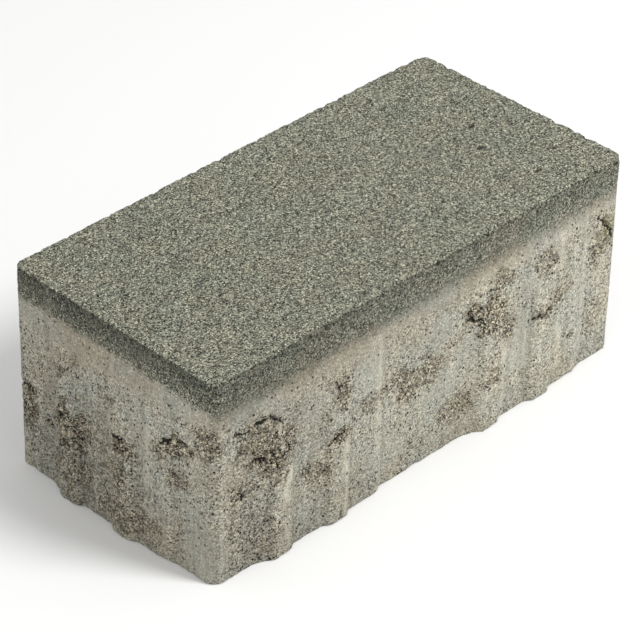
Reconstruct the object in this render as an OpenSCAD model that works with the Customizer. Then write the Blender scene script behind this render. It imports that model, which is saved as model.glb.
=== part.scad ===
// Rectangular concrete paving stone, pressed in one mould from two mixes: a thick
// base of coarse concrete and a thin facing of fine dark concrete on top of it.
// The sides are plain beside the facing. Below it each laying module carries a low
// pad with two spacer ribs, which lock between the ribs of the neighbouring stone.
// Millimetres, +Z up. The origin is the middle of the bed face, and X runs along
// the stone.

/* [Stone] */
// Length of the wearing face
stone_l = 195; // [150:1:300]
// Width of the wearing face
stone_w = 95; // [75:1:200]
// Height from the bed face to the wearing face
stone_h = 80; // [60:1:120]
// Radius of the upright corners
corner_r = 4; // [3:0.5:10]

/* [Facing layer] */
// Thickness of the fine facing concrete
facing_t = 12; // [6:0.5:20]
// Bevel of the arris round the wearing face
arris = 1; // [0.5:0.5:2.5]

/* [Laying module] */
// Length of side that one pattern of pad and ribs serves
module_l = 100; // [80:1:120]
// Joint between the wearing faces of two laid stones
joint = 5; // [4.5:0.5:8]
// Plain strip of the base left between the facing and the pads and ribs
plain_strip = 2; // [0.5:0.5:10]

/* [Pads] */
// Width of a pad at its foot, on the plain side
pad_w = 60; // [50:1:70]
// Run of the ramp at each upright edge of a pad
pad_ramp = 4; // [2:0.5:6]
// How far a pad stands out from the plain side
pad_out = 1.5; // [1:0.1:2]
// Height of the slope at the top of a pad
pad_slope_h = 5; // [2:0.5:10]

/* [Spacer ribs] */
// Spacing of the two ribs in a module
rib_pitch = 26; // [22:0.5:30]
// Width of a rib's flat crest
rib_crest = 8; // [4:0.5:10]
// Run of a rib's flank, from the plain side out to the crest
rib_flank = 3.5; // [1:0.5:5]
// Height of the slope at the top of a rib
rib_slope_h = 26; // [6:1:28]

/* [Hidden] */
$fn = 48;
// The base ends where the facing starts.
base_h = stone_h - facing_t;
// Height of the pads and ribs, from the bed face to the plain strip.
relief_h = base_h - plain_strip;
// A rib's crest reaches the neighbour's pad across the joint.
rib_out = joint - pad_out;
// The ribs stand at three quarters and minus one quarter of their pitch from the
// middle of the module, so a neighbour's ribs, turned half round, fall between them.
rib_centres = [for (i = [0:1]) (0.75 - i) * rib_pitch];

// Number of whole modules that a side of this length serves, at least one.
function modules_on(side) = max(1, floor((side + joint) / module_l));

// Centres of the modules along a side, measured from its middle.
function module_centres(side) =
    let (n = modules_on(side))
    [for (i = [0:n - 1]) (i - (n - 1) / 2) * module_l];

// Straight block along X, standing on Z = 0, with a bevel along both its top edges.
module block_along_x(length, width, height, bevel) {
    translate([-length / 2, 0, 0])
        rotate([90, 0, 90])
            linear_extrude(length)
                polygon([
                    [-width / 2, 0],
                    [width / 2, 0],
                    [width / 2, height - bevel],
                    [width / 2 - bevel, height],
                    [bevel - width / 2, height],
                    [-width / 2, height - bevel]
                ]);
}

// Round post with the same bevel at its top.
module corner_post(height, bevel) {
    rotate_extrude()
        polygon([
            [0, 0],
            [corner_r, 0],
            [corner_r, height - bevel],
            [corner_r - bevel, height],
            [0, height]
        ]);
}

// Rectangular block with round upright corners and a bevel round its top.
module stone_block(height, bevel) {
    inner_l = stone_l - 2 * corner_r;
    inner_w = stone_w - 2 * corner_r;
    block_along_x(inner_l, stone_w, height, bevel);
    rotate([0, 0, 90])
        block_along_x(inner_w, stone_l, height, bevel);
    for (x = [-1, 1], y = [-1, 1])
        translate([x * inner_l / 2, y * inner_w / 2, 0])
            corner_post(height, bevel);
}

// Upright bar on a side at Y = 0: it stands out along +Y, its two edges are ramps and
// its top is a slope. It is rooted as deep as the corners are round, so that it stays
// one solid with the stone wherever it stands along the side.
module raised_bar(foot_w, ramp, out, slope_h) {
    intersection() {
        linear_extrude(relief_h)
            polygon([
                [-foot_w / 2, -corner_r],
                [foot_w / 2, -corner_r],
                [foot_w / 2, 0],
                [foot_w / 2 - ramp, out],
                [ramp - foot_w / 2, out],
                [-foot_w / 2, 0]
            ]);
        translate([-foot_w / 2, 0, 0])
            rotate([90, 0, 90])
                linear_extrude(foot_w)
                    polygon([
                        [-corner_r, 0],
                        [out, 0],
                        [out, relief_h - slope_h],
                        [0, relief_h],
                        [-corner_r, relief_h]
                    ]);
    }
}

// One module's pad with its two spacer ribs.
module pad_with_ribs() {
    raised_bar(pad_w, pad_ramp, pad_out, pad_slope_h);
    for (x = rib_centres)
        translate([x, 0, 0])
            raised_bar(rib_crest + 2 * rib_flank, rib_flank, rib_out, rib_slope_h);
}

// The row of modules along the side of the stone that faces a given way.
module side_relief(turn, side, distance) {
    rotate([0, 0, turn])
        for (x = module_centres(side))
            translate([x, distance, 0])
                pad_with_ribs();
}

// Coarse backing concrete, with the pads and ribs on all four sides.
module base_layer() {
    color("#a29e8d") {
        stone_block(base_h, 0);
        for (turn = [0, 180]) {
            side_relief(turn, stone_l, stone_w / 2);
            side_relief(turn + 90, stone_w, stone_l / 2);
        }
    }
}

// Fine facing concrete, pressed onto the base.
module facing_layer() {
    color("#83827a")
        translate([0, 0, base_h])
            stone_block(facing_t, arris);
}

base_layer();
facing_layer();
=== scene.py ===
"""Looks of a pressed concrete paving stone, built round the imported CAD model.

Both layers of the stone are closed lattices, wrapped on the CAD surfaces and then worn,
pitted and chipped by noise that depends only on the place on the stone. The lattices are
worked out in millimetres, and the meshes are in metres.
"""

import itertools
import math

import bpy
import numpy as np
from mathutils import Matrix, Vector
from mathutils.bvhtree import BVHTree


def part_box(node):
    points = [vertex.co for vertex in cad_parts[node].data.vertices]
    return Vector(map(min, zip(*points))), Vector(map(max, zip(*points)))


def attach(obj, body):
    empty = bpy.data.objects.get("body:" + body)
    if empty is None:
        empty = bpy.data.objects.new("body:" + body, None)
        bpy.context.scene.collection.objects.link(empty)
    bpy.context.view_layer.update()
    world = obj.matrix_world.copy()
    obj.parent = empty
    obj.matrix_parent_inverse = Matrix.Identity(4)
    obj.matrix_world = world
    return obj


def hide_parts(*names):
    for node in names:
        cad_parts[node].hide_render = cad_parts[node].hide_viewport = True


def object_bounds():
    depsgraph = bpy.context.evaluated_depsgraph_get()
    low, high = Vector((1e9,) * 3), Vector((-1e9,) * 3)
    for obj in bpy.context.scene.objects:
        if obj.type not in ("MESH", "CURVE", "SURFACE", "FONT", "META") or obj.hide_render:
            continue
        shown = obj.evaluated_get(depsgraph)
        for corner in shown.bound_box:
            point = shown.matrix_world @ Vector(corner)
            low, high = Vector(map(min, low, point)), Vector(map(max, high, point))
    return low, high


MM = 0.001

# Lattices: spacing of the points, in millimetres.
FACING_STEP = 0.54
BASE_STEP = 0.7
# Round edges, in millimetres.
CORNER_R = 4.0
ARRIS_R = 0.6
BED_EDGE_R = 0.5
# Grains of coarse sand in the rough places: their radii, the spacing, and how many.
GRAIN_RADII = (0.35, 0.8)
GRAIN_SPACING = 1.2
GRAIN_COUNT = 9000
# Wear, in millimetres: the spacing of the coarse and fine grains under the surface, of the
# blow holes and of the pits beside the arris.
COARSE_GRAIN = 2.1
FINE_GRAIN = 1.3
HOLE_SPACING = 4.2
PIT_SPACING = 1.7
# How deep the cracks, holes, pits and bites out of the arris and the bed edge are.
CRACK_DEPTH = 0.9
HOLE_DEPTH = 0.7
PIT_DEPTH = 0.45
ARRIS_BITE = 0.8
BED_BITE = 0.6
# How far in from the arris the edge crumbles, and how far from it pits reach down.
CRUMBLED = 2.8
PITTED = 6.0
# How far from its middle a crack reaches, and how far its floor does.
CRACK_REACH = (1.0, 0.35)
# Half the width of a pale streak of paste and painted highlight.
STREAK_HALF_WIDTH = 1.5
# How far behind a side's plane its streaks and cracks, and its places, still show.
LINE_REACH = 6.0
PLACE_REACH = 7.0
# Heights over which the base turns smooth, and warm in colour, up to the facing.
SMOOTH_ZONE = (57, 63)
WARM_ZONE = (54, 65)
# Rough and pale places of the two sides that have none listed: the seed, and the least
# and most that half their width can be.
HIDDEN_ROUGH = (20, 2.5, 9)
HIDDEN_PALE = (24, 4, 11)
# Seed of the bare grains.
GRAIN_SEED = 7
# Floor under the bed face, in metres.
FLOOR_HEIGHT = -0.0001
# How far outside the plain side the rays start that look for the CAD surface.
RAY_START = 12.0

# The four sides, by the way they face.
SIDES = {
    "minus_y": np.array([0.0, -1.0]),
    "plus_x": np.array([1.0, 0.0]),
    "plus_y": np.array([0.0, 1.0]),
    "minus_x": np.array([-1.0, 0.0]),
}

# Rough places where coarse grains show: the side, the place along it and above the bed,
# half the width and height, the tilt in degrees, and how strong it is.
ROUGH_PLACES = [
    ("minus_y", -80, 51, 8, 6, 0, 0.85),
    ("minus_y", -72, 42, 9, 8, 20, 1.0),
    ("minus_y", -86, 33, 6, 5, 0, 0.5),
    ("minus_y", -82, 14, 14, 14, 0, 0.32),
    ("minus_y", -96, 56, 4, 6, 0, 0.7),
    ("minus_y", -41, 50, 4, 5, 0, 0.8),
    ("minus_y", -43, 35, 4, 3, 20, 0.85),
    ("minus_y", -28, 39, 9, 3, 0, 0.4),
    ("minus_y", -56, 26, 7, 4, -25, 0.65),
    ("minus_y", -10, 40, 7, 4, -10, 0.75),
    ("minus_y", 1, 37, 8, 6, 0, 0.6),
    ("minus_y", -8, 33, 4, 3, 0, 0.75),
    ("minus_y", 24, 50, 6, 5, -20, 1.0),
    ("minus_y", 31, 46, 7, 7, -20, 1.0),
    ("minus_y", 34, 57, 6, 5, 20, 0.65),
    ("minus_y", 38, 37, 4, 5, 0, 0.75),
    ("minus_y", 58, 55, 5, 5, 0, 0.5),
    ("minus_y", 57, 36, 6, 3, 15, 0.95),
    ("minus_y", 65, 38, 6, 3.5, 20, 0.55),
    ("minus_y", 87, 48, 5, 7, 0, 0.55),
    ("minus_y", 91, 54, 3, 4, 0, 1.0),
    ("minus_y", 15, 15, 8, 5, 0, 0.55),
    ("minus_y", 31, 20, 5, 4, 0, 0.6),
    ("minus_y", 73, 17, 1.5, 1.5, 0, 1.0),
    ("minus_y", 86, 21, 5, 8, 0, 0.3),
    ("minus_x", 42, 26, 5, 8, 0, 0.85),
    ("minus_x", 31, 24, 2.5, 2, 0, 0.9),
    ("minus_x", 18, 30, 8, 9, 0, 1.0),
    ("minus_x", 18, 14, 8, 8, 0, 0.7),
    ("minus_x", -6, 36, 6, 4, 0, 0.8),
    ("minus_x", -6, 28, 4, 5, 0, 0.75),
    ("minus_x", -31, 48, 6, 4, -20, 1.0),
    ("minus_x", -24, 44, 4, 3, -20, 0.7),
    ("minus_x", -31, 35, 7, 3, 0, 0.6),
    ("minus_x", -43, 56, 5, 6, 0, 0.7),
    ("minus_x", -8, 8, 13, 6, 0, 0.7),
    ("minus_x", 8, 20, 24, 20, 0, 0.38),
    ("minus_x", 25, 51, 4, 2.5, 0, 0.5),
    ("minus_x", 17, 58, 3, 2.5, 0, 0.55),
    ("minus_x", 1, 51, 4, 2, 0, 0.55),
]
# Smooth places where pale cement paste covers the sand, given in the same way.
PALE_PLACES = [
    ("minus_y", -55, 52, 7, 9, 0, 0.7),
    ("minus_y", -27, 54, 9, 9, 0, 0.9),
    ("minus_y", 6, 50, 9, 7, 0, 0.7),
    ("minus_y", 6, 28, 9, 9, 0, 0.7),
    ("minus_y", 20, 36, 5, 6, 0, 0.8),
    ("minus_y", 45, 27, 8, 12, 0, 1.0),
    ("minus_y", 50, 49, 7, 6, 0, 0.8),
    ("minus_y", 76, 34, 6, 10, 0, 0.7),
    ("minus_y", 80, 55, 4, 8, 0, 0.6),
    ("minus_y", 30, 8, 20, 5, 0, 0.5),
    ("minus_y", -94, 12, 6, 10, 0, 0.9),
    ("minus_y", -20, 14, 14, 9, 0, 0.6),
    ("minus_x", 36, 59, 8, 7, 0, 0.7),
    ("minus_x", 8, 61, 14, 5, 0, 0.6),
    ("minus_x", -15, 47, 5, 12, 0, 0.8),
    ("minus_x", -37, 25, 6, 8, 0, 0.7),
    ("minus_x", -42, 12, 8, 12, 0, 0.9),
]
# Pits in the wearing face: the place of each, half its length and half its width.
TOP_PITS = [
    (73.5, 2, 1.9, 1.2),
    (65.5, -9.5, 2.0, 1.2),
    (69, -33, 2.4, 0.9),
    (84, -27, 1.4, 0.9),
    (-20, 21, 0.9, 0.8),
    (31, -24, 0.8, 1.0),
    (-61, -12, 1.0, 0.7),
    (-84, 30, 0.8, 0.9),
    (8, 36, 1.1, 0.7),
]
# Places where a green film has grown, given as the rough places are.
MOSSY_PLACES = [
    ("minus_y", 91, 54, 4, 5, 0, 1.0),
    ("plus_x", -38, 44, 4, 5, 0, 0.7),
    ("plus_y", 52, 30, 5, 4, 0, 0.5),
]
# Upright pale streaks along the arrises of the ribs and pads, paste that also paints the
# highlight on those edges: the side, the place along it, the lower and upper end above
# the bed, and how strong it is.
STREAKS = [
    ("minus_y", -68.8, 20, 51, 1.0),
    ("minus_y", -66.6, 30, 48, 1.0),
    ("minus_y", -68, 2, 24, 0.4),
    ("minus_y", -41, 2, 36, 0.55),
    ("minus_y", -42, 40, 52, 0.6),
    ("minus_y", -24, 20, 58, 0.45),
    ("minus_y", 37.5, 0, 30, 0.75),
    ("minus_y", 65.4, 4, 27, 0.6),
    ("minus_y", 65.4, 43, 62, 0.6),
    ("minus_y", 79, 4, 50, 0.35),
    ("minus_x", 25, 4, 42, 0.6),
    ("minus_x", 0, 3, 45, 0.55),
    ("minus_x", -18, 14, 50, 0.45),
    ("plus_y", 66, 3, 50, 0.8),
    ("plus_y", 39, 2, 44, 0.7),
    ("plus_y", -34, 4, 56, 0.8),
    ("plus_y", -60, 6, 40, 0.6),
    ("plus_x", -16, 4, 48, 0.8),
    ("plus_x", 10, 2, 40, 0.7),
]
# Cracks under the edge of a rough place, painted near black as the shadow under its ledge:
# the side, and the points that the crack runs through, each as the place along the side
# and above the bed.
CRACKS = [
    ("minus_y", [(-88, 57), (-82, 54.5), (-77, 57), (-74, 57.5), (-69, 53)]),
    ("minus_y", [(-66, 45), (-67, 41), (-72, 40)]),
    ("minus_y", [(-79, 43), (-75, 40), (-71, 38)]),
    ("minus_y", [(-86, 33), (-84, 29)]),
    ("minus_y", [(-48, 33), (-44, 35.5), (-41, 35)]),
    ("minus_y", [(-44, 56), (-42, 53), (-43, 50)]),
    ("minus_y", [(86, 60), (90, 55), (93, 52), (95, 47)]),
    ("minus_y", [(21, 51), (23, 47), (27, 45)]),
    ("minus_y", [(52, 35), (56, 34), (59, 36)]),
    ("minus_x", [(0, 40), (-4, 39), (-9, 40.5)]),
    ("minus_x", [(-3, 36), (-6, 35.5), (-9, 37)]),
    ("minus_x", [(27, 40), (24, 37), (23, 33)]),
    ("minus_x", [(33, 23.5), (29, 24)]),
    ("minus_x", [(46, 33), (42, 34), (38, 31)]),
    ("minus_x", [(-23, 46), (-28, 50), (-35, 51)]),
    ("plus_x", [(-42, 56), (-37, 53), (-33, 54)]),
    ("plus_x", [(-5, 27), (0, 29), (4, 26)]),
    ("plus_x", [(44, 33), (46, 27)]),
    ("plus_y", [(74, 23), (79, 24), (84, 21)]),
    ("plus_y", [(62, 22), (67, 24), (71, 21)]),
    ("plus_y", [(-31, 23), (-27, 22)]),
    ("plus_y", [(18, 14), (22, 15), (25, 12)]),
    ("plus_y", [(-80, 48), (-77, 44)]),
]
# Brightness of each side by the depth below the wearing face, as depth and tone. It is
# painted light and shade: the sides differ by how the light falls on them, and each is
# darker just below the arris.
DEPTH_TONE_AND_SHADE = {
    "minus_x": [(0, 0.44), (3, 0.55), (7, 0.69), (9, 0.84), (12, 0.9), (18, 0.91), (30, 0.92)]
    + [(38, 0.82), (46, 0.86), (60, 0.78), (80, 0.81)],
    "minus_y": [(0, 0.57), (3, 0.61), (8, 0.72), (13, 0.65), (16, 0.72), (21, 0.82), (30, 0.86)]
    + [(40, 0.87), (55, 0.91), (65, 0.87), (80, 0.72)],
    "plus_x": [(0, 0.6), (8, 0.75), (14, 0.95), (30, 0.98), (45, 0.9), (80, 0.82)],
    "plus_y": [(0, 0.58), (8, 0.74), (15, 0.92), (30, 1.0), (50, 0.95), (80, 0.82)],
}
# Brightness by the place along each side, in the same way: painted light and shade, such
# as the -X side lighter towards its rounded front corner.
ALONG_TONE_AND_SHADE = {
    "minus_x": [(-47, 1.1), (-35, 1.05), (-15, 1.04), (5, 1.02), (16, 0.92), (47, 0.98)],
    "minus_y": [(-97, 0.95), (-85, 0.87), (-50, 0.9), (-25, 1.0), (20, 1.02), (45, 1.08)]
    + [(97, 1.1)],
    "plus_x": [(-47, 1.05), (0, 0.95), (47, 1.02)],
    "plus_y": [(-97, 1.0), (-40, 0.93), (20, 1.04), (97, 0.96)],
}


# ---------------------------------------------------------------- noise in numpy


def hashed(cell, seed):
    """A number from 0 to 1 for each cell of a whole-numbered grid, alike on every run."""
    x, y, z = (cell[..., axis].astype(np.uint32) for axis in range(3))
    mixed = x * np.uint32(374761393) + y * np.uint32(668265263)
    mixed = mixed + z * np.uint32(2246822519) + np.uint32(seed * 3266489917 % 2**32)
    mixed = (mixed ^ (mixed >> np.uint32(15))) * np.uint32(2654435761)
    mixed = (mixed ^ (mixed >> np.uint32(13))) * np.uint32(3266489917)
    return (mixed ^ (mixed >> np.uint32(16))) / 2.0**32


def noise(points, size, seed):
    """Smooth noise from about -1 to 1, with features of this size."""
    place = points / size
    cell = np.floor(place).astype(np.int64)
    inside = place - cell
    fade = inside**3 * (inside * (inside * 6 - 15) + 10)
    total = np.zeros(len(points))
    for corner in itertools.product((0, 1), repeat=3):
        slope = np.stack([hashed(cell + corner, seed + k) for k in range(3)], -1) * 2 - 1
        weight = np.where(corner, fade, 1 - fade).prod(-1)
        total += weight * (slope * (inside - corner)).sum(-1)
    return total * 1.6


def fractal(points, size, seed, octaves=3):
    """Noise with ever finer detail on it, from about -1 to 1."""
    return sum(
        noise(points, size / 2**k, seed + 11 * k) / 2**k for k in range(octaves)
    ) / (2 - 2 ** (1 - octaves))


def grains(points, size, seed):
    """How far the nearest grain's centre is, how much nearer it is than the next one's,
    both in grain sizes, and a number from 0 to 1 that is the grain's own."""
    place = points / size
    cell = np.floor(place).astype(np.int64)
    nearest = np.full(len(points), 9.0)
    second = nearest.copy()
    own = np.zeros(len(points))
    for offset in itertools.product((-1, 0, 1), repeat=3):
        there = cell + offset
        centre = there + np.stack([hashed(there, seed + k) for k in range(3)], -1)
        distance = np.linalg.norm(place - centre, axis=-1)
        closer = distance < nearest
        second = np.where(closer, nearest, np.minimum(second, distance))
        own = np.where(closer, hashed(there, seed + 3), own)
        nearest = np.minimum(nearest, distance)
    return nearest, second - nearest, own


def step(low, high, value):
    """A smooth step from 0 at low to 1 at high, either way round."""
    t = np.clip((value - low) / (high - low), 0, 1)
    return t * t * (3 - 2 * t)


# ---------------------------------------------------------------- the stone's surface


class Skin:
    """Points on the stone before it is worn: their places, the ways they face, how much
    each is on a side, the top or the bed, and how far it is below the top and in from the
    outline."""

    def __init__(self, places, facing, half, height):
        self.places = places
        self.facing = facing
        self.half = half
        self.side = 1 - np.abs(facing[:, 2])
        self.top = np.clip(facing[:, 2], 0, 1)
        self.bed = np.clip(-facing[:, 2], 0, 1)
        self.depth = height - places[:, 2]
        self.inset = np.maximum(np.array(half) - np.abs(places[:, :2]), 0).min(-1)

    def on_side(self, side):
        """The place along a side and how far the point is behind that side's plane."""
        way = SIDES[side]
        across = 0 if way[0] == 0 else 1
        behind = self.half[1 - across] - self.places[:, :2] @ way
        return self.places[:, across], np.maximum(behind, 0)

    def share(self, side):
        """How much the point belongs to a side, from 0 to 1."""
        return step(0.3, 0.9, self.facing[:, :2] @ SIDES[side])


def hidden_places(seed, least, most):
    """Places for the two sides that have none listed, drawn with a fixed seed: half
    their width is between the least and the most."""
    draw = np.random.default_rng(seed)
    found = []
    for side, reach, count in (("plus_y", 90, 16), ("plus_x", 42, 8)):
        for along in np.linspace(-reach, reach, count):
            wide, high = draw.uniform(least, most), draw.uniform(least, most)
            middle = draw.uniform(6, 58)
            shift = draw.uniform(-5, 5)
            tilt, strength = draw.uniform(-30, 30), draw.uniform(0.35, 1)
            found.append((side, along + shift, middle, wide, high, tilt, strength))
    return found


def patches(skin, listed, ragged):
    """How much each point is inside one of the places listed, from 0 to 1."""
    most = np.zeros(len(skin.places))
    for side, along, above, wide, high, tilt, strength in listed:
        place, behind = skin.on_side(side)
        across, up = place - along, skin.places[:, 2] - above
        c, s = math.cos(math.radians(tilt)), math.sin(math.radians(tilt))
        distance = np.sqrt(
            ((across * c + up * s) / wide) ** 2
            + ((up * c - across * s) / high) ** 2
            + (behind / PLACE_REACH) ** 2
        )
        most = np.maximum(most, strength * step(1.3, 0.7, distance + ragged))
    return most


def streaks(skin):
    """How much pale paste lies along the arrises of the ribs and pads, from 0 to 1. It also
    paints the highlight on those edges.
    """
    most = np.zeros(len(skin.places))
    waver = noise(skin.places * [1, 1, 0.3], 2.5, 33) * 0.7
    gaps = step(-0.6, 0.0, noise(skin.places, 3.5, 35))
    for side, along, low, high, strength in STREAKS:
        place, behind = skin.on_side(side)
        height = skin.places[:, 2]
        narrow = np.exp(-(((place - along + waver) / STREAK_HALF_WIDTH) ** 2))
        ends = step(low - 4, low + 2, height) * step(high + 4, high - 2, height)
        most = np.maximum(most, strength * narrow * ends * gaps * (behind < LINE_REACH))
    return most


def crack_depth(skin):
    """How deep the cracks are, from 0 to 1 at their middle."""
    deepest = np.zeros(len(skin.places))
    wander = noise(skin.places, 2.2, 41), noise(skin.places, 2.2, 45)
    for side, points in CRACKS:
        along, behind = skin.on_side(side)
        here = np.stack([along + wander[0], skin.places[:, 2] + wander[1]], -1)
        for start, end in itertools.pairwise(np.array(points, float)):
            run = end - start
            t = np.clip((here - start) @ run / (run @ run), 0, 1)
            distance = np.linalg.norm(here - start - t[:, None] * run, axis=-1)
            groove = step(*CRACK_REACH, distance) * (behind < LINE_REACH)
            deepest = np.maximum(deepest, groove)
    return deepest


def pits_on_top(skin):
    """The few larger pits in the wearing face, from 0 to 1."""
    most = np.zeros(len(skin.places))
    for x, y, length, width in TOP_PITS:
        across = (skin.places[:, 0] - x) / length, (skin.places[:, 1] - y) / width
        most = np.maximum(most, step(1.1, 0.6, np.hypot(*across)))
    return most * (skin.facing[:, 2] > 0.5)


def coarse_relief(p):
    """The relief of coarse grains where the surface has come off, with gaps between them,
    and the sockets that grains have dropped out of, from 0 to 1."""
    far, gap, own = grains(p, COARSE_GRAIN, 51)
    small_far, small_gap, _ = grains(p, FINE_GRAIN, 61)
    lumps = (0.5 - far) * 0.9 + (own - 0.5) * 0.8 + (0.5 - small_far) * 0.5
    crevice = step(0.16, 0.0, gap) * 0.6 + step(0.22, 0.0, small_gap) * 0.4
    socket = step(0.62, 0.3, far) * (own < 0.1)
    return lumps * 0.7 - crevice * 0.4 - socket * 0.9 - 0.45, socket


def uneven(skin, paste):
    """Sandy unevenness everywhere, drag lines down the sides, and a slight bow."""
    p = skin.places
    sandy = (noise(p, 1.3, 91) * 0.1 + noise(p, 2.6, 92) * 0.08) * (1 - 0.7 * paste)
    drag = noise(p * [1, 1, 0.06], 1.7, 95) * 0.1 * skin.side
    bow = (fractal(p, 28, 97, 2) - 0.5) * (0.25 * skin.side + 0.12 * skin.top + 0.05 * skin.bed)
    return sandy + drag + bow


def blow_holes(p):
    """Small round holes, from 0 to 1."""
    far, _, own = grains(p, HOLE_SPACING, 71)
    return step(0.3, 0.12, far / (0.35 + own)) * (own < 0.25)


def arris_bites(skin):
    """How much of the arris has crumbled away. It is worst at the +X end."""
    p = skin.places
    arris = step(CRUMBLED, 0.2, np.maximum(skin.depth, skin.inset))
    bite = step(-0.05, 0.55, fractal(p, 3.6, 101)) * 0.9 + np.abs(noise(p, 2.0, 105)) * 0.5
    return arris * bite * (1 + 0.6 * step(0.9, 1.0, p[:, 0] / skin.half[0]))


def bed_bites(skin):
    """How much of the edge round the bed has crumbled away."""
    p = skin.places
    near = skin.bed * skin.side * 4 + step(2, 0, p[:, 2]) * skin.side
    return near * step(0.0, 0.8, fractal(p, 6, 111))


def pits(skin):
    """Pits below the arris and in the wearing face, from 0 to 1."""
    far, _, own = grains(skin.places, PIT_SPACING, 115)
    below = step(0.5, 0.3, far) * (own < 0.3) * skin.side * step(PITTED, 1, skin.depth)
    return np.maximum(below, pits_on_top(skin))


def wear(skin):
    """How far each point moves along the way it faces, and what the materials read."""
    p = skin.places
    facing = facing_share(skin)
    on_side = (1 - facing) * np.clip(skin.side * 2, 0, 1)
    ragged = fractal(p, 6.5, 31) * 0.85 + noise(p, 1.7, 37) * 0.5
    rough = patches(skin, ROUGH_PLACES + hidden_places(*HIDDEN_ROUGH), ragged) * on_side
    rough = np.maximum(rough, skin.bed * step(-0.2, 0.4, fractal(p, 9, 43)) * 0.6)
    paste = patches(skin, PALE_PLACES + hidden_places(*HIDDEN_PALE), 0.7 * ragged) * on_side
    strip = step(*SMOOTH_ZONE, p[:, 2] + ragged * 3) * 0.9
    paste = np.maximum(np.maximum(paste, strip), 0.3) * on_side * (1 - rough)
    smear_and_highlight = streaks(skin) * on_side

    relief, sockets = coarse_relief(p)
    holes = blow_holes(p) * (1 - 0.6 * facing) * (1 - 0.6 * paste)
    cracks = crack_depth(skin) * (1 - skin.top)
    pitted = pits(skin)
    arris = arris_bites(skin)
    move = rough * relief + uneven(skin, paste) + smear_and_highlight * 0.25
    move = move - cracks * CRACK_DEPTH - holes * (HOLE_DEPTH - 0.4 * skin.top)
    move = move - pitted * PIT_DEPTH - arris * ARRIS_BITE - bed_bites(skin) * BED_BITE

    facts = {
        "rough": rough,
        "paste": paste,
        "smear_and_highlight": smear_and_highlight,
        "moss": patches(skin, MOSSY_PLACES, ragged) * on_side,
        # Holes, pits and bare sockets are painted dark as the shade inside them.
        "hollow_shade": np.clip((holes + pitted + rough * sockets) * 0.8, 0, 1),
        # Cracks are painted near black as the shadow under the ledge above them.
        "crack_shadow": cracks,
        "facing_mix": facing,
        # Random tone with painted light and shade by side, depth and place, and darker where the
        # arris is bitten, as painted shade.
        "tone": tone(skin) * (1 - 0.1 * arris),
    }
    return move, facts


def facing_share(skin):
    """How much of the surface is facing concrete. The two mixes run into each other over
    a narrower zone on the short sides than on the long ones."""
    long_side = np.abs(skin.facing[:, 1])
    spread = 1.2 + 3.2 * long_side
    middle = 11.2 + 1.8 * long_side
    wavy = fractal(skin.places, 16, 121) * 0.9 + noise(skin.places, 2.0, 125) * 0.5
    return step(middle + spread, middle - spread, skin.depth + wavy)


def tone(skin):
    """Brightness that changes slowly over the stone: random tone, and painted light and shade
    by side, by depth and by place along each side.
    """
    total = 1 + 0.05 * fractal(skin.places, 45, 131, 2)
    total *= 1 + 0.03 * skin.places[:, 0] / skin.half[0]
    for side, pairs in DEPTH_TONE_AND_SHADE.items():
        along, _ = skin.on_side(side)
        here = np.interp(skin.depth, *zip(*pairs)) * np.interp(along, *zip(*ALONG_TONE_AND_SHADE[side]))
        total *= 1 + skin.share(side) * (here - 1)
    return total


# ---------------------------------------------------------------- lattices


class Plan:
    """A grid over the stone's plan with round corners, and the ring round its border."""

    def __init__(self, half, cells, corner):
        self.cells = cells
        nx, ny = cells
        gx, gy = np.meshgrid(
            np.linspace(-1, 1, nx + 1) * half[0],
            np.linspace(-1, 1, ny + 1) * half[1],
            indexing="ij",
        )
        flat = np.stack([gx.ravel(), gy.ravel()], -1)
        straight = np.array(half) - corner
        over = np.clip((np.abs(flat) - straight) / corner, 0, 1)
        bent = over * np.sqrt(1 - over[:, ::-1] ** 2 / 2)
        sign = np.where(flat < 0, -1, 1)
        self.points = sign * (np.minimum(np.abs(flat), straight) + bent * corner)
        # The distance in from the outline, and the way out to it.
        reach = np.where((over > 0).all(-1), np.linalg.norm(bent, axis=-1), 0)
        inset = (np.array(half) - np.abs(flat)).min(-1)
        self.inset = np.where(reach > 0, corner * (1 - reach), inset)
        nearer = np.argmin(np.array(half) - np.abs(flat), -1)
        axis = np.eye(2)[nearer] * sign
        round_way = sign * bent / np.maximum(reach, 1e-9)[:, None]
        self.outward = np.where((reach > 0)[:, None], round_way, axis)
        self.ring = self.border()

    def border(self):
        """The border points' numbers, anticlockwise from above."""
        nx, ny = self.cells
        number = np.arange((nx + 1) * (ny + 1)).reshape(nx + 1, ny + 1)
        return np.concatenate(
            [number[:-1, 0], number[-1, :-1], number[:0:-1, -1], number[0, :0:-1]]
        )

    def quads(self, numbers):
        """The grid's faces, for points with these numbers in the mesh."""
        nx, ny = self.cells
        grid = numbers.reshape(nx + 1, ny + 1)
        corners = [grid[:-1, :-1], grid[1:, :-1], grid[1:, 1:], grid[:-1, 1:]]
        return np.stack([c.ravel() for c in corners], -1)


def band(lower, upper):
    """Faces between two rings of the same length, facing outwards."""
    return np.stack([lower, np.roll(lower, -1), np.roll(upper, -1), upper], -1)


def even(length, spacing):
    """The even number of cells of about this spacing that a length takes."""
    return 2 * max(1, round(length / spacing / 2))


def turn_edge(past, radius):
    """A quarter-round edge: from a point's distance before the edge, how far it sinks
    from each of the two faces, and the half of the turn that it has made."""
    angle = np.pi / 4 * (1 - np.clip(past / radius, 0, 1))
    return radius * (1 - np.cos(angle)), radius * (1 - np.sin(angle)), angle


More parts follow.
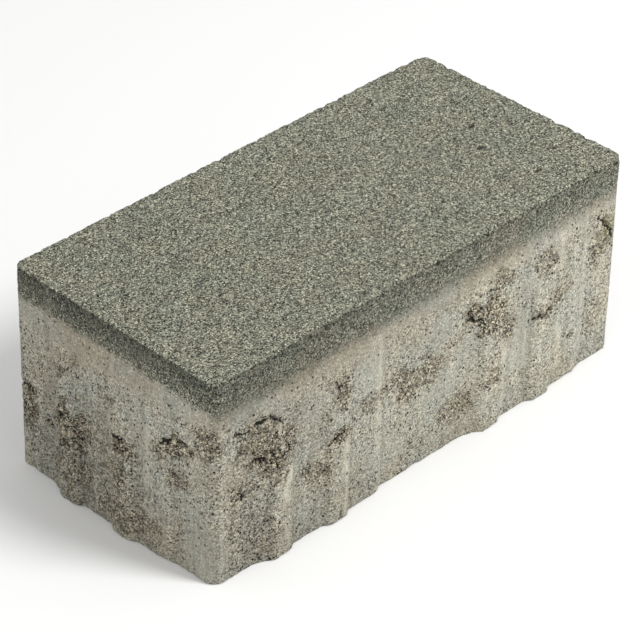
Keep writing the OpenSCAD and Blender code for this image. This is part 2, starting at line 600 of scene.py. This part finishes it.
def stand_out(node, outline, outward, heights):
    """How far the CAD surface stands out of the outline, for each height and column."""
    mesh = node.data
    co = np.array([v.co for v in mesh.vertices]) / MM
    tree = BVHTree.FromPolygons(co.tolist(), [list(p.vertices) for p in mesh.polygons])
    found = np.zeros((len(heights), len(outline)))
    for row, height in enumerate(heights):
        for column, (place, way) in enumerate(zip(outline, outward)):
            start = Vector((*(place + way * RAY_START), height))
            hit = tree.ray_cast(start, Vector((*-way, 0)), RAY_START * 2)
            if hit[0] is not None:
                found[row, column] = RAY_START - hit[3]
    return found


def soften(relief, times):
    """Rounds the arrises of the relief a little."""
    for _ in range(times):
        relief = (np.roll(relief, 1, 1) + 2 * relief + np.roll(relief, -1, 1)) / 4
        padded = np.vstack([relief[:1], relief, relief[-1:]])
        relief = (padded[:-2] + 2 * padded[1:-1] + padded[2:]) / 4
    return relief


def side_rows(plan, heights, relief):
    """Places and facing ways of the rows of points up the sides."""
    ring = plan.ring
    outline, outward = plan.points[ring], plan.outward[ring]
    rows = len(heights)
    places = np.empty((rows, len(ring), 3))
    places[..., :2] = outline + outward * relief[..., None]
    places[..., 2] = heights[:, None]
    facing = np.zeros_like(places)
    facing[..., :2] = outward
    return places, facing


def round_rows(places, facing, past, radius, way):
    """Rounds the rows of points near the top (way 1) or bottom (way -1) of the sides."""
    inwards, down, angle = turn_edge(past, radius)
    near = past < radius
    places[near, :, :2] -= facing[near, :, :2] * inwards[near, None, None]
    places[near, :, 2] += way * (past - down)[near, None]
    facing[near, :, :2] *= np.cos(angle[near])[:, None, None]
    facing[near, :, 2] = way * np.sin(angle[near])[:, None]


def carry(mesh, facts, repeat=1):
    """Puts values on the mesh's points, for the materials to read."""
    for name, values in facts.items():
        made = mesh.attributes.new(name, "FLOAT", "POINT")
        made.data.foreach_set("value", np.repeat(values, repeat).astype(np.float32))


def add_piece(mesh, material):
    """A piece of this mesh and material that rides on the stone's one body."""
    mesh.materials.append(material)
    piece = bpy.data.objects.new(mesh.name, mesh)
    bpy.context.scene.collection.objects.link(piece)
    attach(piece, "root")
    return piece


def in_cad_box(places):
    """The places in millimetres, moved in where they would leave the CAD model's box."""
    return np.clip(places, *(np.array(cad_box) / MM))


def build(name, slot, skin, faces, proud):
    """Wears the points inside the CAD model's box, and makes the piece, with what its
    material reads and how far each point stands proud of what is round it."""
    move, facts = wear(skin)
    facts["proud"] = proud
    places = in_cad_box(skin.places + skin.facing * move[:, None])
    mesh = bpy.data.meshes.new(name)
    lists = [some.tolist() for some in faces]
    mesh.from_pydata(places * MM, [], list(itertools.chain.from_iterable(lists)))
    # The flat end that the two layers share is one face with many corners.
    mesh.polygons.foreach_set("use_smooth", [len(p.vertices) <= 4 for p in mesh.polygons])
    carry(mesh, facts)
    return add_piece(mesh, concrete(slot))


def round_body():
    """The corners of a body with twenty equal faces, and the faces, facing outwards."""
    golden = (1 + 5**0.5) / 2
    ends = np.array([(-1, golden, 0), (1, golden, 0), (-1, -golden, 0), (1, -golden, 0)])
    corners = np.vstack([np.roll(ends, turn, 1) for turn in range(3)])
    corners /= np.linalg.norm(corners[0])
    close = np.linalg.norm(corners[:, None] - corners, axis=-1) < 1.2
    faces = []
    for a, b, c in itertools.combinations(range(12), 3):
        if close[a, b] and close[b, c] and close[a, c]:
            way = np.cross(corners[b] - corners[a], corners[c] - corners[a]) @ corners[a]
            faces.append((a, b, c) if way > 0 else (a, c, b))
    return corners, np.array(faces)


def read_points(mesh, name, width):
    """A mesh's values at its points, as rows of this width."""
    values = np.empty(len(mesh.vertices) * width)
    if width == 3:
        mesh.vertices.foreach_get(name, values)
    else:
        mesh.attributes[name].data.foreach_get("value", values)
    return values.reshape(-1, width)


def grain_spots(places, rough, draw):
    """The numbers of the points that carry a bare grain: the rougher, the likelier, and
    one at most in each small cell, so that the grains lie side by side."""
    order = draw.permutation(len(places))
    order = order[rough[order] > draw.uniform(0.2, 1.0, len(order))]
    cells = np.floor(places[order] / GRAIN_SPACING).astype(int)
    first = np.unique(cells, axis=0, return_index=True)[1]
    return order[np.sort(first)][:GRAIN_COUNT]


def grain_shapes(corners, count, draw):
    """This many uneven grains about the origin, each turned its own way."""
    shapes = corners * draw.uniform(0.75, 1.2, (count, len(corners), 1))
    shapes = shapes * draw.uniform(0.65, 1.0, (count, 1, 3))
    return shapes @ np.linalg.qr(draw.normal(size=(count, 3, 3)))[0]


def bare_grains(base):
    """Coarse sand that stands bare in the rough places: closed grains, each sunk into
    the surface of the base layer."""
    places = read_points(base.data, "co", 3) / MM
    ways = read_points(base.data, "normal", 3)
    rough = read_points(base.data, "rough", 1)[:, 0]
    draw = np.random.default_rng(GRAIN_SEED)
    chosen = grain_spots(places, rough, draw)
    count = len(chosen)
    corners, faces = round_body()
    shapes = grain_shapes(corners, count, draw)
    radius = draw.uniform(*GRAIN_RADII, count)[:, None]
    sunk = radius * draw.uniform(0.15, 0.6, (count, 1))
    middles = places[chosen] - ways[chosen] * sunk
    points = in_cad_box((middles[:, None] + shapes * radius[..., None]).reshape(-1, 3))
    starts = len(corners) * np.arange(count)
    mesh = bpy.data.meshes.new("bare_grains")
    mesh.from_pydata(points * MM, [], (faces + starts[:, None, None]).reshape(-1, 3).tolist())
    mesh.shade_smooth()
    own = draw.uniform(0, 1, count)
    # The base's tone, with its painted light and shade, carries over to each grain.
    grain_tone_and_shade = read_points(base.data, "tone", 1)[chosen, 0]
    carry(mesh, {"own": own, "tone": grain_tone_and_shade}, len(corners))
    add_piece(mesh, grain_stone())


def wearing_face(plan, height):
    """The points of the wearing face inside the border, with the arris turned: their
    numbers in the plan, their places and the ways they face."""
    inner = np.setdiff1d(np.arange(len(plan.points)), plan.ring)
    inset, outward = plan.inset[inner], plan.outward[inner]
    inwards, down, angle = turn_edge(inset, ARRIS_R)
    near = inset < ARRIS_R
    places = np.c_[plan.points[inner], np.full(len(inner), height)]
    # Past the middle of the turn the two sinks change places.
    places[:, :2] += outward * np.where(near, inset - down, 0)[:, None]
    places[:, 2] -= np.where(near, inwards, 0)
    facing = np.zeros_like(places)
    facing[:, :2] = outward * np.where(near, np.sin(angle), 0)[:, None]
    facing[:, 2] = np.where(near, np.cos(angle), 1)
    return inner, places, facing


def facing_piece(half, low, height):
    """The facing layer: a ring of side rows, the wearing face, and a flat underside."""
    cells = (even(2 * half[0], FACING_STEP), even(2 * half[1], FACING_STEP))
    plan = Plan(half, cells, CORNER_R)
    heights = np.linspace(low, height, round((height - low) / FACING_STEP) + 1)
    ring = len(plan.ring)
    places, facing = side_rows(plan, heights, np.zeros((len(heights), ring)))
    round_rows(places, facing, height - heights, ARRIS_R, 1)
    rows = np.arange(len(heights) * ring).reshape(len(heights), ring)

    inner, top, top_facing = wearing_face(plan, height)
    numbers = np.empty(len(plan.points), int)
    numbers[plan.ring] = rows[-1]
    numbers[inner] = rows.size + np.arange(len(inner))
    faces = [band(a, b) for a, b in itertools.pairwise(rows)]
    faces += [plan.quads(numbers), rows[0][::-1][None]]
    places = np.vstack([places.reshape(-1, 3), top])
    facing = np.vstack([facing.reshape(-1, 3), top_facing])
    skin = Skin(places, facing, half, height)
    piece = build("facing", "facing_concrete", skin, faces, np.zeros(len(places)))
    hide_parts("facing_layer")


def seam(outer, inner):
    """Faces between a ring and the one inside it with half as many points, facing down."""
    inner_next, outer_next = np.roll(inner, -1), np.roll(outer, -2)
    start, middle, end = outer[::2], outer[1::2], outer_next[::2]
    return [
        np.stack([start, inner, middle], -1),
        np.stack([middle, inner, inner_next], -1),
        np.stack([middle, inner_next, end], -1),
    ]


def base_piece(half, low, height, node):
    """The base layer: side rows wrapped on the CAD pads and ribs, the bed on a coarser
    grid, and a flat top under the facing."""
    cells = (even(2 * half[0], BASE_STEP), even(2 * half[1], BASE_STEP))
    plan = Plan(half, cells, CORNER_R)
    heights = np.linspace(0, low, round(low / BASE_STEP) + 1)
    ring = plan.ring
    # A ray at either end of the layer could just miss it.
    safe = np.clip(heights, 0.05, low - 0.05)
    relief = stand_out(node, plan.points[ring], plan.outward[ring], safe)
    relief = soften(relief, 2)
    # The arrises of ribs and pads stand proud of the wider surface, and are paler; the
    # recesses beside them are darker, as painted shade.
    proud = relief - soften(relief, 50)
    places, facing = side_rows(plan, heights, relief)
    round_rows(places, facing, heights, BED_EDGE_R, -1)
    rows = np.arange(len(heights) * len(ring)).reshape(len(heights), len(ring))

    margin = 2 * BED_EDGE_R
    bed = Plan([h - margin for h in half], (cells[0] // 2, cells[1] // 2), CORNER_R - margin)
    numbers = rows.size + np.arange(len(bed.points))
    faces = [band(a, b) for a, b in itertools.pairwise(rows)]
    faces += seam(rows[0], numbers[bed.ring])
    faces += [bed.quads(numbers)[:, ::-1], rows[-1][None]]
    bottom = np.c_[bed.points, np.zeros(len(bed.points))]
    places = np.vstack([places.reshape(-1, 3), bottom])
    down = np.tile([0.0, 0.0, -1.0], (len(bottom), 1))
    facing = np.vstack([facing.reshape(-1, 3), down])
    proud = np.r_[proud.ravel(), np.zeros(len(bottom))]
    piece = build("base", "base_concrete", Skin(places, facing, half, height), faces, proud)
    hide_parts("base_layer")
    return piece


# ---------------------------------------------------------------- materials


class Graph:
    """A material's nodes. Textures take their place on the stone in millimetres."""

    def __init__(self, name):
        self.material = bpy.data.materials.new(name)
        self.material.use_nodes = True
        self.tree = self.material.node_tree
        self.shader = self.tree.nodes["Principled BSDF"]
        where = self.add("ShaderNodeTexCoord").outputs["Object"]
        scaled = self.add("ShaderNodeVectorMath", {0: where, "Scale": 1 / MM}, operation="SCALE")
        self.place = scaled.outputs[0]
        self.height = self.add("ShaderNodeSeparateXYZ", {0: self.place}).outputs[2]

    def add(self, kind, inputs=(), **settings):
        """A new node, with links or values for its inputs and its own settings."""
        node = self.tree.nodes.new(kind)
        for key, value in settings.items():
            setattr(node, key, value)
        for key, value in dict(inputs).items():
            if isinstance(value, bpy.types.NodeSocket):
                self.tree.links.new(value, node.inputs[key])
            else:
                node.inputs[key].default_value = value
        return node

    def moved(self, stretch, seed):
        """The place on the stone, stretched and shifted, so that textures differ."""
        shift = (seed * 17.3, seed * 9.1, seed * 5.7)
        node = self.add(
            "ShaderNodeVectorMath",
            {0: self.place, 1: stretch, 2: shift},
            operation="MULTIPLY_ADD",
        )
        return node.outputs[0]

    def noise(self, size, seed, detail=2.0, rough=0.5, stretch=(1, 1, 1)):
        """Cloudy noise from 0 to 1, with features of this size."""
        where = self.moved(stretch, seed)
        sockets = {"Vector": where, "Scale": 1 / size, "Detail": detail, "Roughness": rough}
        return self.add("ShaderNodeTexNoise", sockets).outputs["Fac"]

    def cells(self, size, seed):
        """Round grains: the distance from each one's middle, and two numbers of its own."""
        sockets = {"Vector": self.moved((1, 1, 1), seed), "Scale": 1 / size}
        node = self.add("ShaderNodeTexVoronoi", sockets)
        own = self.add("ShaderNodeSeparateColor", {0: node.outputs["Color"]})
        return node.outputs["Distance"], own.outputs[0], own.outputs[1]

    def gaps(self, size, seed, width):
        """The gaps between grains, from 0 to 1, for a width in grain sizes."""
        bent = self.add("ShaderNodeTexNoise", {"Vector": self.place, "Scale": 1.2 / size})
        where = self.add(
            "ShaderNodeVectorMath",
            {0: bent.outputs["Color"], 1: (size * 0.6,) * 3, 2: self.moved((1, 1, 1), seed)},
            operation="MULTIPLY_ADD",
        )
        sockets = {"Vector": where.outputs[0], "Scale": 1 / size}
        node = self.add("ShaderNodeTexVoronoi", sockets, feature="DISTANCE_TO_EDGE")
        return self.fit(node.outputs["Distance"], width, width * 0.3)

    def spots(self, size, seed, radius, share):
        """Round spots in a share of the cells, from 0 to 1."""
        distance, own, _ = self.cells(size, seed)
        chosen = self.math("LESS_THAN", own, share)
        return self.math("MULTIPLY", self.fit(distance, radius, radius * 0.6), chosen)

    def fit(self, value, low, high, to_low=0.0, to_high=1.0):
        """The value's range from low to high, carried over to another range."""
        sockets = {0: value, 1: low, 2: high, 3: to_low, 4: to_high}
        return self.add("ShaderNodeMapRange", sockets).outputs[0]

    def math(self, operation, a, b, c=0.0, clamp=False):
        """One sum on numbers or sockets."""
        sockets = {0: a, 1: b, 2: c}
        node = self.add("ShaderNodeMath", sockets, operation=operation, use_clamp=clamp)
        return node.outputs[0]

    def mix(self, share, a, b, blend="MIX"):
        """Colour a with this share of colour b."""
        node = self.add(
            "ShaderNodeMix", {0: share, 6: a, 7: b}, data_type="RGBA", blend_type=blend
        )
        return node.outputs[2]

    def scale(self, colour, value):
        """The colour made brighter or darker by a number."""
        grey = self.add("ShaderNodeCombineColor", {0: value, 1: value, 2: value}).outputs[0]
        return self.mix(1.0, colour, grey, "MULTIPLY")

    def painted(self, name):
        """A value that the mesh carries at each point."""
        return self.add("ShaderNodeAttribute", attribute_name=name).outputs["Fac"]

    def bump(self, height, distance, under=None):
        """Relief too fine for the mesh, laid over another relief if one is given."""
        sockets = {"Height": height, "Distance": distance, "Strength": 1.0}
        if under is not None:
            sockets["Normal"] = under
        return self.add("ShaderNodeBump", sockets).outputs[0]


def linear(red, green, blue):
    """A colour given as 8-bit sRGB, as the linear colour that nodes take."""
    return tuple(
        (c / 255 / 12.92 if c < 11 else ((c / 255 + 0.055) / 1.055) ** 2.4)
        for c in (red, green, blue)
    ) + (1.0,)


def facing_colour(g):
    """Fine dark concrete: grey-green sand with light and dark grains."""
    patch = g.fit(g.noise(14, 1, detail=3), 0.35, 0.65)
    colour = g.mix(patch, linear(119, 122, 108), linear(124, 123, 108))
    _, own, hue = g.cells(0.75, 2)
    colour = g.mix(g.fit(hue, 0.6, 1.0, 0, 0.2), colour, linear(134, 126, 108))
    _, small, _ = g.cells(0.4, 3)
    sand = g.math("MULTIPLY", g.fit(own, 0, 1, 0.72, 1.28), g.fit(small, 0, 1, 0.0, 2.1))
    colour = g.scale(colour, sand)
    colour = g.mix(g.spots(0.62, 4, 0.55, 0.19), colour, linear(28, 28, 20))
    return g.mix(g.spots(0.65, 5, 0.55, 0.095), colour, linear(214, 208, 186))


def base_colour(g, rough, paste):
    """Coarse concrete: tan and bluish sand, pale smooth paste, bare brown grains."""
    patch = g.fit(g.noise(17, 15, detail=3), 0.38, 0.62)
    sand = g.mix(patch, linear(165, 159, 141), linear(163, 163, 151))
    sand = g.mix(g.math("MULTIPLY", rough, 0.7), sand, linear(177, 167, 144))
    smooth = g.mix(g.fit(g.noise(13, 16), 0.4, 0.6), linear(180, 177, 163), linear(176, 176, 163))
    colour = g.mix(g.math("MULTIPLY", paste, 0.75), sand, smooth)
    streak = g.fit(g.noise(2.4, 7, detail=2, stretch=(1, 1, 0.05)), 0.35, 0.7, 0.88, 1.14)
    colour = g.scale(colour, streak)
    warm = g.math("MULTIPLY", g.fit(g.height, *WARM_ZONE), g.fit(g.noise(30, 21), 0.42, 0.56))
    colour = g.mix(g.math("MULTIPLY", warm, 0.6), colour, linear(176, 164, 142))

    # Grains of their own brightness: strong where they are bare, faint under the paste.
    _, own, hue = g.cells(0.8, 9)
    _, small, _ = g.cells(0.43, 10)
    strength = g.math("MULTIPLY_ADD", rough, 0.3, c=0.9)
    strength = g.math("MULTIPLY", strength, g.fit(paste, 0, 1, 1.0, 0.3))
    grain = g.math("ADD", g.fit(own, 0, 1, -0.35, 0.35), g.fit(small, 0, 1, -0.8, 0.9))
    colour = g.scale(colour, g.math("MULTIPLY_ADD", grain, strength, c=1.0))
    colour = g.mix(g.fit(hue, 0.75, 1.0, 0, 0.25), colour, linear(150, 138, 118))
    return g.mix(g.spots(0.85, 19, 0.48, 0.1), colour, linear(220, 214, 194))


def pore_and_gap_shade(g, rough, paste):
    """Painted shade in the pores and in the gaps between the grains of the coarse concrete,
    from 0 to 1.
    """
    chosen = g.fit(g.noise(2.6, 11, detail=2), 0.4, 0.5)
    gaps = g.math("MULTIPLY", g.gaps(1.25, 12, 0.2), g.math("MULTIPLY", rough, chosen))
    share = g.math("MULTIPLY_ADD", rough, 0.42, c=0.1)
    share = g.math("MULTIPLY", share, g.fit(paste, 0, 1, 1.1, 0.3))
    share = g.math("MULTIPLY", share, g.fit(g.noise(7, 24, detail=2), 0.4, 0.62, 0.25, 1.8))
    pores = g.math("MAXIMUM", g.spots(0.85, 13, 0.5, share), g.spots(1.8, 14, 0.33, share))
    return g.math("MAXIMUM", gaps, pores, clamp=True)


def base_concrete(g):
    """The coarse concrete with its pale streaks of paste and painted highlight, painted shade in
    its pores and gaps, green film, paler proud arrises and painted shade in the recesses
    beside them; and how dark its painted pore shade is."""
    rough, paste = g.painted("rough"), g.painted("paste")
    colour = base_colour(g, rough, paste)
    pore_shade = pore_and_gap_shade(g, rough, paste)
    # Pale streaks: paste, and painted highlight on the arrises of the ribs and pads.
    colour = g.mix(g.math("MULTIPLY", g.painted("smear_and_highlight"), 0.75), colour, linear(222, 216, 197))
    # Pores and gaps are painted near black as the shade inside them.
    colour = g.mix(g.math("MULTIPLY", pore_shade, 0.93), colour, linear(27, 23, 14))
    colour = g.mix(g.math("MULTIPLY", g.painted("moss"), 0.55), colour, linear(118, 124, 74))
    # Paler where the relief stands proud, and darker in its recesses as painted shade.
    return g.scale(colour, g.math("MULTIPLY_ADD", g.painted("proud"), 0.16, c=1.0)), pore_shade


def opened(g, colour):
    """The colour with painted shade in its hollows and painted shadow in its cracks, whose
    edges a fine noise makes ragged.
    """
    ragged = g.fit(g.noise(0.9, 23, detail=2), 0.25, 0.75, -0.3, 0.3)
    # Painted shade in the holes, pits and sockets.
    hole_shade = g.fit(g.math("ADD", g.painted("hollow_shade"), ragged), 0.3, 0.65)
    colour = g.mix(g.math("MULTIPLY", hole_shade, 0.85), colour, linear(34, 29, 19))
    # Painted shadow in the cracks.
    crack_shadow = g.fit(g.math("ADD", g.painted("crack_shadow"), ragged), 0.45, 0.75)
    return g.mix(g.math("MULTIPLY", crack_shadow, 0.95), colour, linear(20, 16, 9))


def concrete(name):
    """The stone's material. Both layers use it, because the two mixes run into each
    other across the joint between the pieces."""
    g = Graph(name)
    base, pore_shade = base_concrete(g)
    colour = g.mix(g.painted("facing_mix"), base, facing_colour(g))
    # The tone carries painted light and shade onto both mixes.
    colour = opened(g, g.scale(colour, g.painted("tone")))
    g.tree.links.new(colour, g.shader.inputs["Base Color"])
    g.shader.inputs["Roughness"].default_value = 0.92
    g.shader.inputs["Specular IOR Level"].default_value = 0.3
    relief = g.math("SUBTRACT", g.noise(1.2, 17, detail=3, rough=0.75), pore_shade)
    coarse = g.bump(relief, 0.35 * MM)
    far, _, _ = g.cells(0.7, 18)
    fine = g.bump(g.math("MULTIPLY", far, -1.0), 0.32 * MM, coarse)
    g.tree.links.new(fine, g.shader.inputs["Normal"])
    return g.material


def grain_stone():
    """Grains of sand, each of its own colour: brown, tan, pale or grey."""
    g = Graph("grain_stone")
    own = g.painted("own")
    brown = g.mix(g.fit(own, 0.1, 0.4), linear(120, 110, 91), linear(170, 160, 137))
    colour = g.mix(g.fit(own, 0.45, 0.7), brown, linear(202, 195, 174))
    colour = g.mix(g.fit(own, 0.8, 0.86), colour, linear(146, 144, 133))
    mottle = g.fit(g.noise(0.5, 30, detail=2), 0.3, 0.7, 0.7, 1.3)
    # The tone under each grain carries painted light and shade onto it.
    colour = g.scale(colour, g.math("MULTIPLY", mottle, g.painted("tone")))
    g.tree.links.new(colour, g.shader.inputs["Base Color"])
    g.shader.inputs["Roughness"].default_value = 0.85
    g.shader.inputs["Specular IOR Level"].default_value = 0.35
    bump = g.bump(g.noise(0.4, 31, detail=2, rough=0.7), 0.15 * MM)
    g.tree.links.new(bump, g.shader.inputs["Normal"])
    return g.material


# ---------------------------------------------------------------- studio


def pale(name, colour):
    """A plain matt material for the floor."""
    material = bpy.data.materials.new(name)
    material.use_nodes = True
    shader = material.node_tree.nodes["Principled BSDF"]
    shader.inputs["Base Color"].default_value = colour
    shader.inputs["Roughness"].default_value = 0.9
    return material


def floor():
    """A wide pale floor, a hair below the stone so that the two don't share a plane."""
    corners = [(x, y, FLOOR_HEIGHT) for x, y in ((-6, -6), (6, -6), (6, 6), (-6, 6))]
    mesh = bpy.data.meshes.new("floor")
    mesh.from_pydata(corners, [], [(0, 1, 2, 3)])
    mesh.materials.append(pale("floor_paint", (0.9, 0.9, 0.895, 1)))
    plane = bpy.data.objects.new("floor", mesh)
    bpy.context.scene.collection.objects.link(plane)


def aim(thing, target, azimuth, elevation, distance, roll=0.0):
    """Puts a light or camera at this distance round the target, looking at it. Azimuth 0
    looks along +Y, and angles are in degrees."""
    a, e = math.radians(azimuth), math.radians(elevation)
    back = Vector((math.sin(a) * math.cos(e), -math.cos(a) * math.cos(e), math.sin(e)))
    turn = (-back).to_track_quat("-Z", "Y").to_matrix().to_4x4()
    turn = turn @ Matrix.Rotation(math.radians(roll), 4, "Z")
    thing.matrix_world = Matrix.Translation(target + back * distance) @ turn


def area_light(name, target, azimuth, elevation, distance, size, watts):
    """A round soft lamp that points at the target."""
    data = bpy.data.lights.new(name, "AREA")
    data.shape = "DISK"
    data.size = size
    data.energy = watts
    lamp = bpy.data.objects.new(name, data)
    bpy.context.scene.collection.objects.link(lamp)
    aim(lamp, target, azimuth, elevation, distance)


def studio(centre):
    """Soft light: a bright room, a large key lamp at the front right, and a fill."""
    world = bpy.data.worlds.new("room")
    world.use_nodes = True
    sky = world.node_tree.nodes["Background"]
    sky.inputs["Color"].default_value = (1, 1, 1, 1)
    sky.inputs["Strength"].default_value = 0.62
    bpy.context.scene.world = world
    area_light("key", centre, azimuth=22, elevation=50, distance=1.6, size=0.5, watts=18)
    area_light("fill", centre, azimuth=-80, elevation=40, distance=1.8, size=1.2, watts=3)
    bpy.context.scene.view_settings.view_transform = "Standard"


def camera(centre):
    """The camera that looks down on a corner of the stone through a long lens."""
    data = bpy.data.cameras.new("camera")
    data.sensor_width = 36
    data.lens = 180.9
    thing = bpy.data.objects.new("camera", data)
    bpy.context.scene.collection.objects.link(thing)
    target = centre + Vector((-6.9, -4.6, 0)) * MM
    aim(thing, target, azimuth=-45.9, elevation=35.1, distance=1.089, roll=1.2)
    bpy.context.scene.camera = thing


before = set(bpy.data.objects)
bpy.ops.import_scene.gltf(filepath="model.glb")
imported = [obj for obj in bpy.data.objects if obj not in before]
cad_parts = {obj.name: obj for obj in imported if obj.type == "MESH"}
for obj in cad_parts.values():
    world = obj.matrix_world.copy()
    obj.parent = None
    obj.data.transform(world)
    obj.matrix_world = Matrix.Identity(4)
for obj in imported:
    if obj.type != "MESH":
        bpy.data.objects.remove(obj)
cad_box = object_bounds()
facing_low, facing_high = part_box("facing_layer")
half_plan = [facing_high.x / MM, facing_high.y / MM]
joint_height, stone_height = facing_low.z / MM, facing_high.z / MM
facing_piece(half_plan, joint_height, stone_height)
base = base_piece(half_plan, joint_height, stone_height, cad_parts["base_layer"])
bare_grains(base)
middle = (cad_box[0] + cad_box[1]) / 2
floor()
studio(middle)
camera(middle)
